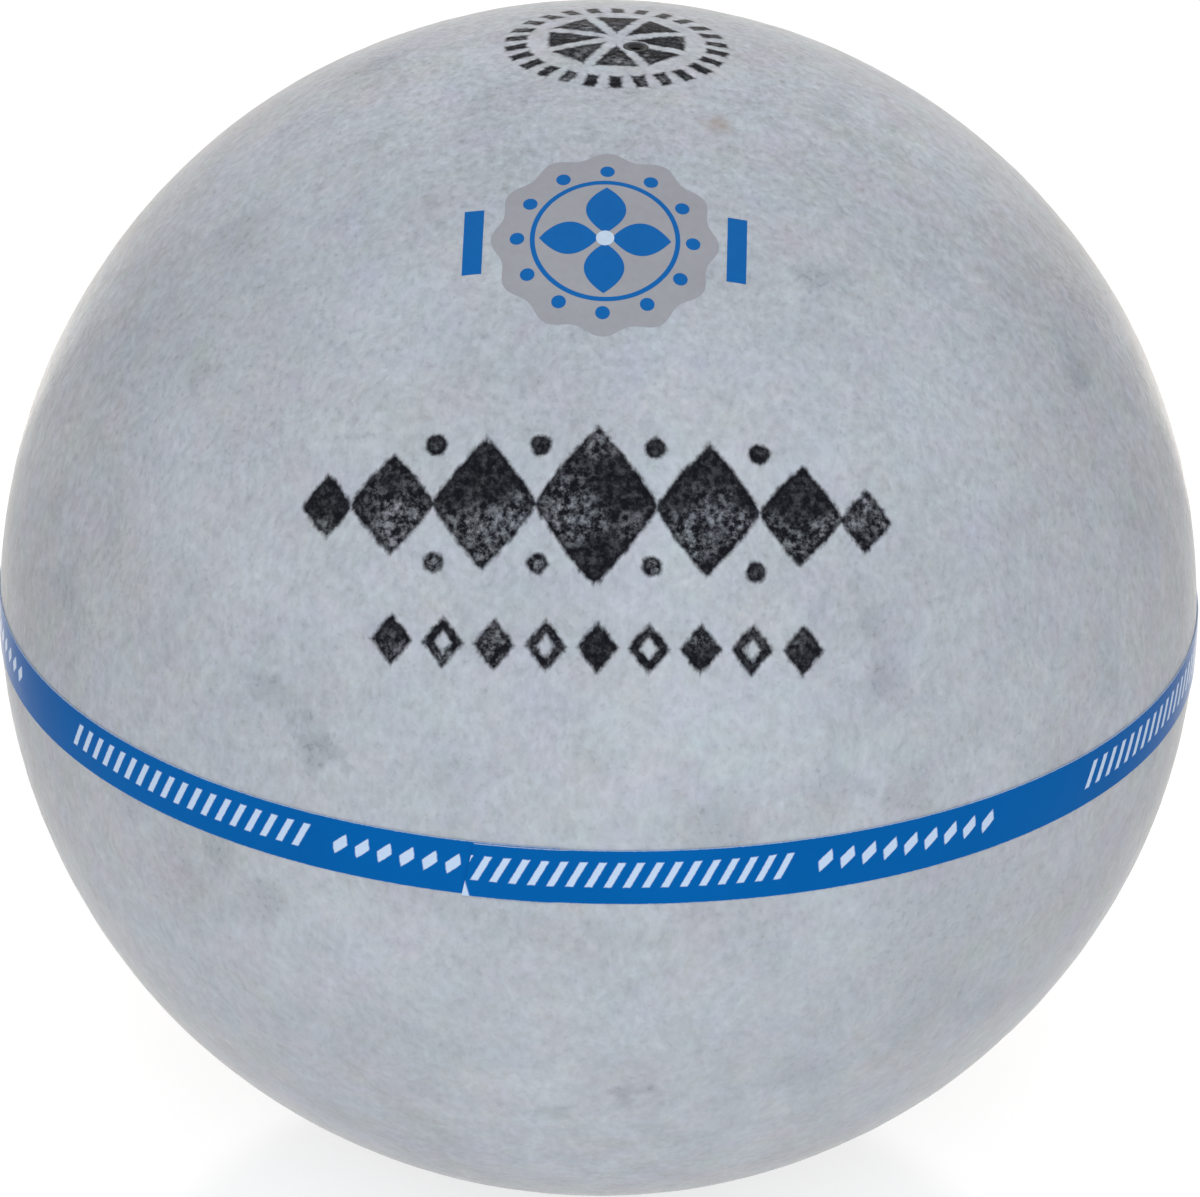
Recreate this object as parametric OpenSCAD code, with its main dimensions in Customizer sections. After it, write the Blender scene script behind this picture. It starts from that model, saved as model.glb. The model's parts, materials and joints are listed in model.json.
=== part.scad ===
// Fistball: an inflated game ball with a seamless-looking suede skin.
// Two moulded suede half-shells meet in a skived lap at the equator, under a film band.
// Below them lie a latex coat, a thread winding and an airtight bladder with a needle valve.
// The origin is the ball's centre, +Z is the pole of the band, and -Y is the printed front.

/* [Ball] */
// Diameter over the suede cover
ball_d = 212; // [206:0.5:217]

/* [Suede cover] */
// Thickness of the suede
cover_t = 1.4; // [1:0.1:2.2]
// Width of the skived lap where the two half-shells meet
seam_lap_w = 6; // [3:0.5:8]
// Diameter of the hole over the valve
cover_hole_d = 4.4; // [3.6:0.1:5.4]

/* [Film band] */
// Width of the band
band_w = 9.8; // [8.6:0.1:14]
// Thickness of the film
band_t = 0.2; // [0.1:0.05:0.4]
// Length over which the band's end lies on its start
band_lap = 14; // [6:1:30]
// Bearing of the band's visible end, from the front towards +X, in degrees
band_end_bearing = -10.9; // [-90:0.1:90]
// Slant of the band's cut end, in degrees off square
band_cut_slant = 11; // [0:1:30]

/* [Carcass] */
// Thickness of the latex coat that the cover is bonded to
coat_t = 0.5; // [0.3:0.1:1]
// Thickness of the thread winding
winding_t = 0.6; // [0.5:0.1:1]
// Thickness of the bladder
bladder_t = 0.6; // [0.4:0.1:1]

/* [Valve place] */
// Distance along the cover from the band's pole to the valve
valve_off_pole = 5.5; // [0:0.1:10]
// Bearing of the valve from the pole, from the front towards +X, in degrees
valve_bearing = 45; // [-180:1:180]

/* [Valve housing] */
// Diameter of the neck that passes out through the carcass
neck_d = 11; // [10:0.5:14]
// Diameter of the flange bonded inside the bladder
flange_d = 36; // [26:1:46]
// Thickness of the flange beside the boss
flange_t = 2; // [1.4:0.1:3]
// Thickness of the flange at its edge
flange_edge_t = 0.6; // [0.4:0.1:1]
// Diameter of the boss where it leaves the flange
boss_d = 14; // [13:0.5:18]
// Diameter of the boss at its inner end
boss_tip_d = 11; // [10:0.5:13]
// Length of the boss, inwards from the bladder
boss_len = 12; // [9:0.5:16]

/* [Valve plug] */
// Diameter of the plug's head
head_d = 7.6; // [6.6:0.1:8.4]
// Thickness of the plug's head
head_t = 2.2; // [1.6:0.1:3]
// Diameter of the plug's stem
stem_d = 5.2; // [4.6:0.1:6]
// Diameter of the collar that holds the plug in
collar_d = 7.4; // [6.4:0.1:8.4]
// Thickness of the collar
collar_t = 1.8; // [1.2:0.1:2.6]
// Length of the tapered nose below the collar
nose_len = 3; // [2:0.5:4]
// Diameter of the nose's tip
nose_tip_d = 3.6; // [3:0.1:4.4]
// Clearance all round between the plug's spigot and the hole in the cover
spigot_clear = 0.1; // [0.05:0.05:0.3]
// Depth of the spigot's top below the cover's surface
spigot_recess = 0.4; // [0.2:0.1:0.8]
// Diameter of the needle channel
needle_d = 2; // [1.8:0.1:2.4]
// Length of the channel's straight part
needle_len = 14; // [9:0.5:15]
// Diameter of the funnel at the channel's mouth
mouth_d = 3; // [2.6:0.1:3.2]
// Depth of the funnel
mouth_depth = 0.6; // [0.3:0.1:0.8]

/* [Patches] */
// Diameter of the fabric patch round the valve
valve_patch_d = 44; // [30:1:56]
// Thickness of the fabric patch
valve_patch_t = 0.3; // [0.2:0.05:0.4]
// Diameter of the balance patch opposite the valve
balance_patch_d = 40; // [30:1:44]
// Thickness of the balance patch at its middle
balance_patch_t = 2.6; // [2.4:0.1:4]

/* [Hidden] */
$fn = 160;

// Radii of the layers' faces, from the outside in
cover_r = ball_d / 2;
coat_r = cover_r - cover_t;
winding_r = coat_r - coat_t;
bladder_r = winding_r - winding_t;
air_r = bladder_r - bladder_t;
// Face on which the two skived rims of the cover meet
skive_r = cover_r - cover_t / 2;

// How far a cutting shape reaches past what it cuts
over = 1;
// Angles that lengths along the equator and the meridian take up
degrees_per_mm = 180 / (PI * cover_r);
valve_lean = valve_off_pole * degrees_per_mm;
band_lap_angle = band_lap * degrees_per_mm;

// Heights along the valve's axis, from the ball's centre
head_seat = coat_r - head_t;
boss_end = air_r - boss_len;
collar_end = boss_end - collar_t;
nose_end = collar_end - nose_len;
spigot_top = cover_r - spigot_recess;
channel_top = spigot_top - mouth_depth;
channel_end = channel_top - needle_len;
flange_edge = sqrt(pow(air_r, 2) - pow(flange_d / 2, 2)) - flange_edge_t;

// Turns the pole to the valve's place
module at_valve() {
    rotate([0, valve_lean, valve_bearing - 90]) children();
}

// Half of a ring between two circles, right of the axis, between two heights
module ring_section(outer_r, inner_r, low, high) {
    intersection() {
        difference() {
            circle(r = outer_r);
            circle(r = inner_r);
        }
        translate([0, low]) square([outer_r + over, high - low]);
    }
}

// Half of a whole ring, open at the pole where the valve's neck passes through
module layer_section(outer_r, inner_r) {
    difference() {
        ring_section(outer_r, inner_r, -outer_r - over, outer_r + over);
        square([neck_d / 2, outer_r + over]);
    }
}

// Round patch that lies between two spheres, about the pole
module patch_section(outer_r, inner_r, d, hole_d = 0) {
    intersection() {
        difference() {
            circle(r = outer_r);
            circle(r = inner_r);
        }
        translate([hole_d / 2, 0]) square([(d - hole_d) / 2, outer_r + over]);
    }
}

// Half-shell with the valve hole; its rim is skived on the inside and laps over the lower one
module upper_cover() color([0.72, 0.74, 0.78]) {
    difference() {
        rotate_extrude() {
            ring_section(cover_r, skive_r, -seam_lap_w / 2, cover_r + over);
            ring_section(skive_r, coat_r, seam_lap_w / 2, cover_r + over);
        }
        at_valve() cylinder(d = cover_hole_d, h = cover_r + over);
    }
}

// Half-shell whose rim is skived on the outside and tucks under the upper one
module lower_cover() color([0.72, 0.74, 0.78]) {
    rotate_extrude() {
        ring_section(cover_r, skive_r, -cover_r - over, -seam_lap_w / 2);
        ring_section(skive_r, coat_r, -cover_r - over, seam_lap_w / 2);
    }
}

// Strip of film once round the equator, with its slanted end lapped over its start
module equator_band() color([0.02, 0.36, 0.66]) {
    rotate_extrude() ring_section(cover_r + band_t, cover_r, -band_w / 2, band_w / 2);
    difference() {
        rotate([0, 0, band_end_bearing - 90 - band_lap_angle / 2])
            rotate_extrude(angle = band_lap_angle * 3 / 2)
                ring_section(cover_r + 2 * band_t, cover_r + band_t, -band_w / 2, band_w / 2);
        rotate([0, 0, band_end_bearing - 90])
            rotate([-band_cut_slant, 0, 0])
                translate([0, -band_lap - over, -band_w])
                    cube([ball_d, band_lap + over, 2 * band_w]);
    }
}

// Rubber skin that binds the thread and carries the cover
module latex_coat() color([0.86, 0.8, 0.66]) {
    at_valve() rotate_extrude() layer_section(coat_r, winding_r);
}

// Layer of thread wound round the bladder, with a pocket where it passes over the valve patch
module thread_winding() color([0.93, 0.92, 0.88]) {
    at_valve() rotate_extrude() difference() {
        layer_section(winding_r, bladder_r);
        patch_section(bladder_r + valve_patch_t, bladder_r - over, valve_patch_d);
    }
}

// Airtight balloon that holds the pressure
module bladder() color([0.12, 0.12, 0.13]) {
    at_valve() rotate_extrude() layer_section(bladder_r, air_r);
}

// Fabric ring that stiffens the bladder round the valve's neck
module valve_patch() color([0.8, 0.76, 0.66]) {
    at_valve() rotate_extrude() patch_section(bladder_r + valve_patch_t, bladder_r, valve_patch_d, neck_d);
}

// Section of the housing before it is hollowed: neck, flange and tapered boss
module housing_section() {
    intersection() {
        circle(r = coat_r);
        translate([0, boss_end]) square([neck_d / 2, coat_r - boss_end]);
    }
    intersection() {
        circle(r = air_r);
        polygon([
            [0, boss_end],
            [boss_tip_d / 2, boss_end],
            [boss_d / 2, air_r - flange_t],
            [flange_d / 2, flange_edge],
            [flange_d / 2, air_r + over],
            [0, air_r + over]
        ]);
    }
}

// Rubber body of the valve, bonded into the bladder, with the plug's seat through it
module valve_housing() color([0.1, 0.1, 0.11]) {
    at_valve() rotate_extrude() difference() {
        housing_section();
        translate([0, boss_end - over]) square([stem_d / 2, ball_d]);
        translate([0, head_seat]) square([head_d / 2, ball_d]);
    }
}

// Section of the plug before its channel: spigot, head, stem, holding collar and nose
module plug_section() {
    intersection() {
        circle(r = spigot_top);
        translate([0, head_seat]) square([cover_hole_d / 2 - spigot_clear, ball_d]);
    }
    intersection() {
        circle(r = coat_r);
        translate([0, head_seat]) square([head_d / 2, ball_d]);
    }
    translate([0, boss_end]) square([stem_d / 2, head_seat - boss_end]);
    translate([0, collar_end]) square([collar_d / 2, collar_t]);
    polygon([[0, nose_end], [nose_tip_d / 2, nose_end], [collar_d / 2, collar_end], [0, collar_end]]);
}

// Self-closing rubber plug with a blind channel for the pump needle
module valve_plug() color([0.06, 0.06, 0.07]) {
    at_valve() rotate_extrude() difference() {
        plug_section();
        translate([0, channel_end]) square([needle_d / 2, needle_len + over]);
        polygon([
            [0, channel_top],
            [needle_d / 2, channel_top],
            [mouth_d / 2, spigot_top],
            [mouth_d / 2, spigot_top + over],
            [0, spigot_top + over]
        ]);
    }
}

// Rubber disc inside the bladder, opposite the valve, that balances its weight
module balance_patch() color([0.14, 0.14, 0.15]) {
    at_valve() mirror([0, 0, 1]) rotate_extrude() intersection() {
        circle(r = air_r);
        translate([0, air_r - balance_patch_t]) square([balance_patch_d / 2, balance_patch_t + over]);
    }
}

upper_cover();
lower_cover();
equator_band();
latex_coat();
thread_winding();
bladder();
valve_patch();
valve_housing();
valve_plug();
balance_patch();
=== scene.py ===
import json
from math import acos, asin, atan2, ceil, cos, hypot, pi, radians, sin, sqrt, tan

import bmesh
import bpy
from mathutils import Matrix, Vector, noise


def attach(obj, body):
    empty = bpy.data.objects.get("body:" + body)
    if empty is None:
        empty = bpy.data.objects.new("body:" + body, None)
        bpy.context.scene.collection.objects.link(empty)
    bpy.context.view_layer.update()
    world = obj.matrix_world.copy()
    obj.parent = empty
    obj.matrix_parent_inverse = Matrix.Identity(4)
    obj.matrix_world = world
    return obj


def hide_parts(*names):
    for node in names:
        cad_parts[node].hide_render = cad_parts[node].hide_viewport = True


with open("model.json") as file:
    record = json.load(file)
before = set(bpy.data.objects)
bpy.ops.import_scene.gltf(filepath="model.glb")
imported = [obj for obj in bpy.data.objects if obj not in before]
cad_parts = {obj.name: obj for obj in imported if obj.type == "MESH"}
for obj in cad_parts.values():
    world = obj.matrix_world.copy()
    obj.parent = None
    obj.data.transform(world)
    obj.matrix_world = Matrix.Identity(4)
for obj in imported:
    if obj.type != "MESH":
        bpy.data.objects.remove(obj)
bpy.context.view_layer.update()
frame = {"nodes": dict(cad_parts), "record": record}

# A game ball with a grey suede skin, a blue film band round its equator and worn printing.
# The ball's lengths are in millimetres until a mesh is made, where MM turns them into metres.
# The stage is in metres.
MM = 0.001

MOUNTS = {mount["name"]: mount for mount in frame["record"]["mounts"]}
VALVE_AXIS = Vector(MOUNTS["needle_socket"]["axis"]).normalized()
VALVE_LEAN = acos(VALVE_AXIS.z)
VALVE_BEARING = atan2(VALVE_AXIS.y, VALVE_AXIS.x)
BALL_R = -MOUNTS["ground_rest"]["pos_m"][2] / MM
GIRTH = 2 * pi * BALL_R

# The suede cover, as in the CAD model
COVER_T = 1.4
LAP_W = 6.0
HOLE_R = 2.2
COAT_R = BALL_R - COVER_T
SKIVE_R = BALL_R - COVER_T / 2

# The film band, as in the CAD model
BAND_W = 9.8
BAND_T = 0.2
BAND_LAP = 14.0
BAND_END = radians(-10.9)
BAND_SLANT = radians(11)

# The photograph's frame and the ball's outline in it, in pixels
FRAME_W = 1200
FRAME_H = 1197
OUTLINE_X = 598.7
OUTLINE_Y = 597.7
OUTLINE_R = 598.5
# How the photograph was taken: distance in ball radii, height angle and tilt
VIEW_RADII = 10.0
VIEW_RISE = radians(25.24)
VIEW_TILT = radians(1.49)
SENSOR_W = 36.0


# Numbers and colours in material nodes

class Term:
    """A number in a material's node tree. Arithmetic on it adds Math nodes."""

    def __init__(self, tree, socket):
        self.tree = tree
        self.socket = socket

    def math(self, operation, *others):
        node = self.tree.nodes.new("ShaderNodeMath")
        node.operation = operation
        for slot, value in zip(node.inputs, (self, *others)):
            connect(self.tree, value, slot)
        return Term(self.tree, node.outputs[0])

    def __add__(self, other):
        return self.math("ADD", other)

    def __sub__(self, other):
        return self.math("SUBTRACT", other)

    def __mul__(self, other):
        return self.math("MULTIPLY", other)

    def __truediv__(self, other):
        return self.math("DIVIDE", other)

    def __rsub__(self, other):
        return self.math("MULTIPLY_ADD", -1.0, other)

    def __abs__(self):
        return self.math("ABSOLUTE")

    def __neg__(self):
        return self.math("MULTIPLY", -1.0)

    def least(self, other):
        return self.math("MINIMUM", other)

    def most(self, other):
        return self.math("MAXIMUM", other)

    def swing(self, amount):
        """Noise about 0.5 turned into a change to both sides of 0."""
        return (self - 0.5) * amount

    def wave(self, radian):
        """A wave between -1 and 1 along a distance, where one radian is so many millimetres."""
        return (self / radian).math("SINE")

    def folded(self, pitch):
        """The distance to the nearest whole number of pitches, with its sign."""
        return self.math("WRAP", pitch / 2, -pitch / 2)

    def ramp(self, low, high):
        """A smooth rise from 0 at low to 1 at high. It falls where low is above high."""
        node = self.tree.nodes.new("ShaderNodeMapRange")
        node.interpolation_type = "SMOOTHSTEP"
        connect(self.tree, self, node.inputs["Value"])
        if low < high:
            limits = (low, high, 0.0, 1.0)
        else:
            limits = (high, low, 1.0, 0.0)
        for name, limit in zip(("From Min", "From Max", "To Min", "To Max"), limits):
            node.inputs[name].default_value = limit
        return Term(self.tree, node.outputs["Result"])


def connect(tree, value, slot):
    """Links a Term, a node's first output or a socket to an input, or sets it to a plain value."""
    if isinstance(value, Term):
        tree.links.new(value.socket, slot)
    elif isinstance(value, bpy.types.Node):
        tree.links.new(value.outputs[0], slot)
    elif isinstance(value, bpy.types.NodeSocket):
        tree.links.new(value, slot)
    else:
        slot.default_value = value


def add_node(tree, kind, *values):
    """A new node whose first inputs are linked or set to the values."""
    node = tree.nodes.new(kind)
    for slot, value in zip(node.inputs, values):
        connect(tree, value, slot)
    return node


def opaque(colour):
    """A plain colour with its alpha. A socket stays as it is."""
    return (*colour, 1.0) if isinstance(colour, tuple) else colour


class Paint:
    """A material in the making, with the surface point in millimetres."""

    def __init__(self, name, **plain):
        self.material = bpy.data.materials.new(name)
        self.material.use_nodes = True
        self.tree = self.material.node_tree
        self.shader = self.tree.nodes["Principled BSDF"]
        for socket, value in plain.items():
            self.shader.inputs[socket.replace("_", " ")].default_value = value
        place = self.node("ShaderNodeTexCoord").outputs["Object"]
        self.point = self.vector("SCALE", place, 1 / MM)
        self.x, self.y, self.z = self.parts(self.point)

    def node(self, kind):
        return self.tree.nodes.new(kind)

    def vector_math(self, operation, first, second):
        """A node that takes two vectors, or one and a number for SCALE."""
        node = self.node("ShaderNodeVectorMath")
        node.operation = operation
        connect(self.tree, first, node.inputs[0])
        slot = node.inputs["Scale"] if operation == "SCALE" else node.inputs[1]
        connect(self.tree, second, slot)
        return node

    def vector(self, operation, first, second):
        return self.vector_math(operation, first, second).outputs["Vector"]

    def along(self, direction):
        """The surface point's distance along a direction, from the ball's centre."""
        node = self.vector_math("DOT_PRODUCT", self.point, direction)
        return Term(self.tree, node.outputs["Value"])

    def distance(self, point, place):
        node = self.vector_math("DISTANCE", point, place)
        return Term(self.tree, node.outputs["Value"])

    def parts(self, vector):
        node = self.node("ShaderNodeSeparateXYZ")
        connect(self.tree, vector, node.inputs[0])
        return [Term(self.tree, output) for output in node.outputs]

    def noise(self, size, detail, rough, twist=0.0, point=None, colour=False):
        """Noise about 0.5 whose largest grains are `size` millimetres wide."""
        node = self.node("ShaderNodeTexNoise")
        connect(self.tree, point or self.point, node.inputs["Vector"])
        node.inputs["Scale"].default_value = 1 / size
        node.inputs["Detail"].default_value = detail
        node.inputs["Roughness"].default_value = rough
        node.inputs["Distortion"].default_value = twist
        if colour:
            return node.outputs["Color"]
        return Term(self.tree, node.outputs["Fac"])

    def strip_place(self, layer):
        """The place on a strip from one of its own UV layers, in millimetres."""
        node = self.node("ShaderNodeUVMap")
        node.uv_map = layer
        u, v, _ = self.parts(node.outputs["UV"])
        return u / MM, v / MM

    def mix(self, share, first, second):
        """The first colour where share is 0, the second where it is 1."""
        node = self.node("ShaderNodeMix")
        node.data_type = "RGBA"
        connect(self.tree, share, node.inputs[0])
        for slot, colour in ((node.inputs[6], first), (node.inputs[7], second)):
            connect(self.tree, opaque(colour), slot)
        return node.outputs[2]

    def bump(self, height, depth):
        """Uses a height from 0 to 1 as relief, `depth` millimetres deep."""
        node = self.node("ShaderNodeBump")
        node.inputs["Distance"].default_value = depth * MM
        connect(self.tree, height, node.inputs["Height"])
        self.tree.links.new(node.outputs["Normal"], self.shader.inputs["Normal"])

    def set(self, socket, value):
        connect(self.tree, value, self.shader.inputs[socket])


# Flat shapes, as distances from their outlines that are negative inside

ROUNDED = 1.1


def length_of(u, v):
    return (u * u + v * v).math("SQRT")


def disc(u, v, radius):
    return length_of(u, v) - radius


def bar(u, v, half_w, half_h):
    return (abs(u) - half_w).most(abs(v) - half_h)


def lozenge(u, v, half_w, half_h):
    """A diamond with slightly rounded sides."""
    reach = (abs(u) / half_w).math("POWER", ROUNDED) + (abs(v) / half_h).math("POWER", ROUNDED)
    return (reach - 1.0) * (half_w * half_h / hypot(half_w, half_h) / ROUNDED)


def union(shapes):
    whole = shapes[0]
    for shape in shapes[1:]:
        whole = whole.least(shape)
    return whole


# Places on the ball

def facing(bearing, rise):
    """Unit vector to a place on the ball, its bearing from the front towards +X, in degrees."""
    b, r = radians(bearing), radians(rise)
    return Vector((sin(b) * cos(r), -cos(b) * cos(r), sin(r)))


def local_axes(bearing, rise):
    """Directions to the right and upwards at a place on the ball."""
    right = Vector((cos(radians(bearing)), sin(radians(bearing)), 0.0))
    return right, facing(bearing, rise).cross(right)


def print_place(paint, bearing, rise):
    """Right and up distances of the surface point from a place on the front."""
    right, up = local_axes(bearing, rise)
    return paint.along(right), paint.along(up)


# The black stamps

ROSETTE_X = 0.6
ROSETTE_Y = -1.1
WEDGES = 8
WEDGE_IN = 1.9
WEDGE_OUT = 11.9
WEDGE_GAP = 0.95
# How far the wedges' outer edges stand out past the chord
WEDGE_SPARE = 0.6
TICKS = 26
TICK_MID = 17.2
TICK_HALF_W = 1.1
TICK_HALF_H = 1.9


def valve_rosette(paint):
    """Ring of wedges round the valve, with a ring of plain tick marks outside it."""
    u = paint.x - ROSETTE_X
    v = -(paint.y - ROSETTE_Y)
    far = length_of(u, v)
    turn = u.math("ARCTAN2", v)
    half_wedge = pi / WEDGES
    wedge_turn = turn.folded(2 * half_wedge)
    across = abs(far * wedge_turn.math("SINE"))
    outwards = far * wedge_turn.math("COSINE")
    flank = across * cos(half_wedge) - outwards * sin(half_wedge) + WEDGE_GAP
    outer_edge = outwards - WEDGE_OUT * cos(half_wedge) - WEDGE_SPARE
    wedges = flank.most(outer_edge).most(WEDGE_IN - far)
    tick_u = far * turn.folded(2 * pi / TICKS).math("SINE")
    ticks = bar(tick_u, far - TICK_MID, TICK_HALF_W, TICK_HALF_H)
    return union([wedges, ticks]).most(-paint.z)


STAMP_PLACE = (-0.5, 33.3)
# Middle, half width and half height of each lozenge on one side of the stamp
STAMP_ROW = ((0.0, 10.0, 13.0), (18.0, 8.6, 10.8), (33.0, 7.0, 8.2), (43.6, 4.2, 5.2))
STAMP_DOTS = (9.2, 26.0)
STAMP_DOT_UP = 9.6
STAMP_DOT_R = 1.7


def front_stamp(paint):
    """Row of plain lozenges on the front, the largest in the middle."""
    u, v = print_place(paint, *STAMP_PLACE)
    side = abs(u)
    shapes = [lozenge(side - mid, v, half_w, half_h) for mid, half_w, half_h in STAMP_ROW]
    shapes += [disc(side - mid, abs(v) - STAMP_DOT_UP, STAMP_DOT_R) for mid in STAMP_DOTS]
    return union(shapes).most(paint.y)


LINE_PLACE = (0.0, 20.9)
LINE_PITCH = 8.3
LINE_MARKS = 9
LINE_HALF_W = 3.3
LINE_HALF_H = 4.1
LINE_STROKE = 1.5


def small_line(paint):
    """Row of small lozenges below the stamp, solid and hollow by turns."""
    u, v = print_place(paint, *LINE_PLACE)
    outer = lozenge(u.folded(LINE_PITCH), v, LINE_HALF_W, LINE_HALF_H)
    hollow = outer.most(-outer - LINE_STROKE)
    solid = lozenge(u.folded(2 * LINE_PITCH), v, LINE_HALF_W, LINE_HALF_H)
    ends = abs(u) - LINE_PITCH * LINE_MARKS / 2
    return hollow.least(solid).most(ends).most(paint.y)


INK = (0.002, 0.002, 0.005)
# How far the nap's fibres and tufts fray an edge, and how softly the edge ends, in mm
FRAY_FIBRE = 0.7
FRAY_TUFT = 1.0
EDGE_SOFT = 0.42
# Ink pools along a shape's edge: where that starts and ends, in mm inside, and the wear left there
POOLED_FROM = 0.1
POOLED_TO = 1.2
POOLED_WEAR = 0.3
# Rubbed places and worn specks: size in mm, detail and roughness of the noise, and its range
RUBBED = (15.0, 2.0, 0.5)
RUBBED_RANGE = (0.42, 0.62)
WORN = (1.25, 3.0, 0.7)
WORN_RANGE = (0.38, 0.82)
# Share of the ink that a worn speck loses, and how much more it loses in a rubbed place
SPECK_LOSS = 0.14
RUBBED_LOSS = 0.62
MOST_INK = 0.99


def printing(paint, colour, fibre, tuft):
    """Adds the worn black stamps to the suede's colour."""
    stamped = union([valve_rosette(paint), front_stamp(paint), small_line(paint)])
    fray = fibre.swing(FRAY_FIBRE) + tuft.swing(FRAY_TUFT)
    covered = (stamped + fray).ramp(EDGE_SOFT, -EDGE_SOFT)
    rubbed = paint.noise(*RUBBED).ramp(*RUBBED_RANGE)
    worn = paint.noise(*WORN).ramp(*WORN_RANGE)
    inside = stamped.ramp(-POOLED_FROM, -POOLED_TO) * (1 - POOLED_WEAR) + POOLED_WEAR
    bare = worn * inside * (rubbed * RUBBED_LOSS + SPECK_LOSS)
    return paint.mix(covered * (MOST_INK - bare), colour, INK)


# The suede

SUEDE = (0.472, 0.508, 0.556)
SUEDE_WARM = (0.474, 0.500, 0.536)
SHEEN_TINT = (1.0, 0.96, 0.90)
# Grains of the nap: size in mm, detail and roughness of the noise
FIBRE = (0.95, 3.0, 0.62)
PORE = (1.15, 2.0, 0.6)
TUFT = (1.7, 3.0, 0.6)
SMEAR = (6.0, 3.0, 0.6)
MOTTLE = (7.0, 3.0, 0.55)
HUE = (9.0, 4.0, 0.75)
SWIRL = (16.0, 2.0, 0.5)
WARMTH = (21.0, 3.0, 0.6)
CLOUD = (34.0, 2.0, 0.5)
# Values of the noise between which pores and warm places rise from nothing to their full strength
PORE_RANGE = (0.50, 0.78)
WARM_RANGE = (0.40, 0.72)
# How far the swirls shift the fibres and the smears shift the smudges, in mm
SWIRL_REACH = 6.0
SMEAR_REACH = 14.0
# The fibres are longer upwards than sideways
COMBED = (1.0, 1.0, 0.7)
# How far the nap's hue strays, as a share of each colour
HUE_SPREAD = 0.17
# How much each grain changes the shade
FIBRE_SHADE = 0.20
TUFT_SHADE = 0.42
PORE_SHADE = 0.09
MOTTLE_SHADE = 0.21
CLOUD_SHADE = 0.30
SHADE_LIFT = 0.02
# How strongly the fine grains show at the bottom, how much more they do at the top, and how much
# more again on the cap that starts at a share of the radius
GRAIN_LOW = 0.75
GRAIN_RISE = 0.6
GRAIN_CAP = 0.4
CAP_FROM = 0.8
# How the grains break up the smudges, the tones and the painted light
MOTTLE_BREAK = 2.4
TUFT_BREAK = 1.6
PORE_BREAK = 0.5
SMUDGE_AND_PAINTED_LIGHT_BASE = 0.76
# The nap's fine relief: share of each grain, and its depth in mm
FIBRE_HEIGHT = 0.6
TUFT_HEIGHT = 0.5
PORE_PIT = 0.3
NAP_DEPTH = 0.16

# Broad tones of the nap and painted light: bearing and height angle in degrees, radius in mm, and how
# much darker the middle is. A minus makes it paler. The darker places are tones of the nap; the paler
# ones, at the sides, the upper right and the lower front, are painted light.
TONES_AND_PAINTED_LIGHT = (
    (-47, 41, 32.0, 0.06), (34, -7, 24.0, 0.09), (46, 5, 16.0, 0.06), (53, -21, 26.0, 0.06),
    (70, 56, 42.0, -0.075), (-82, 26, 30.0, -0.10), (80, 27, 26.0, -0.09), (0, -42, 55.0, -0.075),
    (6, -11, 22.0, -0.045),
)
# Smudges on the front, given in the same way
FRONT_SMUDGES = (
    (-63, 49, 8.0, 0.15), (-51, 37, 4.5, 0.15), (-61, 13, 8.0, 0.14), (-31, 13, 6.0, 0.16),
    (-27, 11, 4.5, 0.16), (-25, 8, 5.0, 0.23), (27, 21, 4.5, 0.25), (27, 16, 7.0, 0.20),
    (22, 7, 6.5, 0.16), (29, 5, 7.5, 0.19), (11, 5, 8.0, 0.15), (0, 11, 5.5, 0.10),
    (-12, 9, 7.0, 0.08), (66, 35, 6.0, 0.18), (56, 9, 5.5, 0.16), (66, 19, 7.0, 0.08),
    (33, 53, 5.0, 0.18), (73, 68, 5.5, 0.14), (79, 63, 5.5, 0.11), (-42, 75, 8.0, 0.08),
    (-58, 64, 5.0, 0.14), (-83, 48, 7.0, 0.09), (4, -26, 4.5, 0.25), (-3, -29, 4.0, 0.23),
    (-36, -4, 5.0, 0.15), (-47, -3, 5.5, 0.13), (-40, -8, 6.0, 0.12), (-31, -8, 6.0, 0.13),
    (35, -20, 11.5, 0.10), (22, -26, 8.0, 0.07), (44, -23, 8.0, 0.07), (-32, -38, 10.5, 0.09),
)
# Smudges on the other side: how many, the bearings and height angles that they are spread over, and
# the radius and depth that they take by turns
BACK_SMUDGES = 22
BACK_FROM, BACK_TO = 92, 268
BACK_LOW, BACK_HIGH = -45, 70
BACK_KINDS = ((4.6, 0.20), (6.8, 0.16), (5.6, 0.14), (8.0, 0.10))
GOLDEN_SHARE = (sqrt(5) - 1) / 2
# Share of its radius within which a smudge, a tone or a patch of painted light is strongest
SMUDGE_AND_PAINTED_LIGHT_CORE = 0.2

# The brown stain: bearing and height angle, radii of its edge and core in mm, the range of the
# mottling that breaks it up, its strength and its colour
STAIN_PLACE = (32, 72)
STAIN_R = 4.0
STAIN_CORE = 0.5
STAIN_RANGE = (0.35, 0.65)
STAIN_DEPTH = 0.75
STAIN_BROWN = (0.36, 0.29, 0.24)


def back_smudges():
    """Smudges spread evenly, but in no pattern, over the side that the front view doesn't show."""
    for i in range(BACK_SMUDGES):
        bearing = BACK_FROM + (BACK_TO - BACK_FROM) * (i * GOLDEN_SHARE % 1)
        rise = BACK_LOW + (BACK_HIGH - BACK_LOW) * (i + 0.5) / BACK_SMUDGES
        yield bearing, rise, *BACK_KINDS[i % len(BACK_KINDS)]


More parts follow.
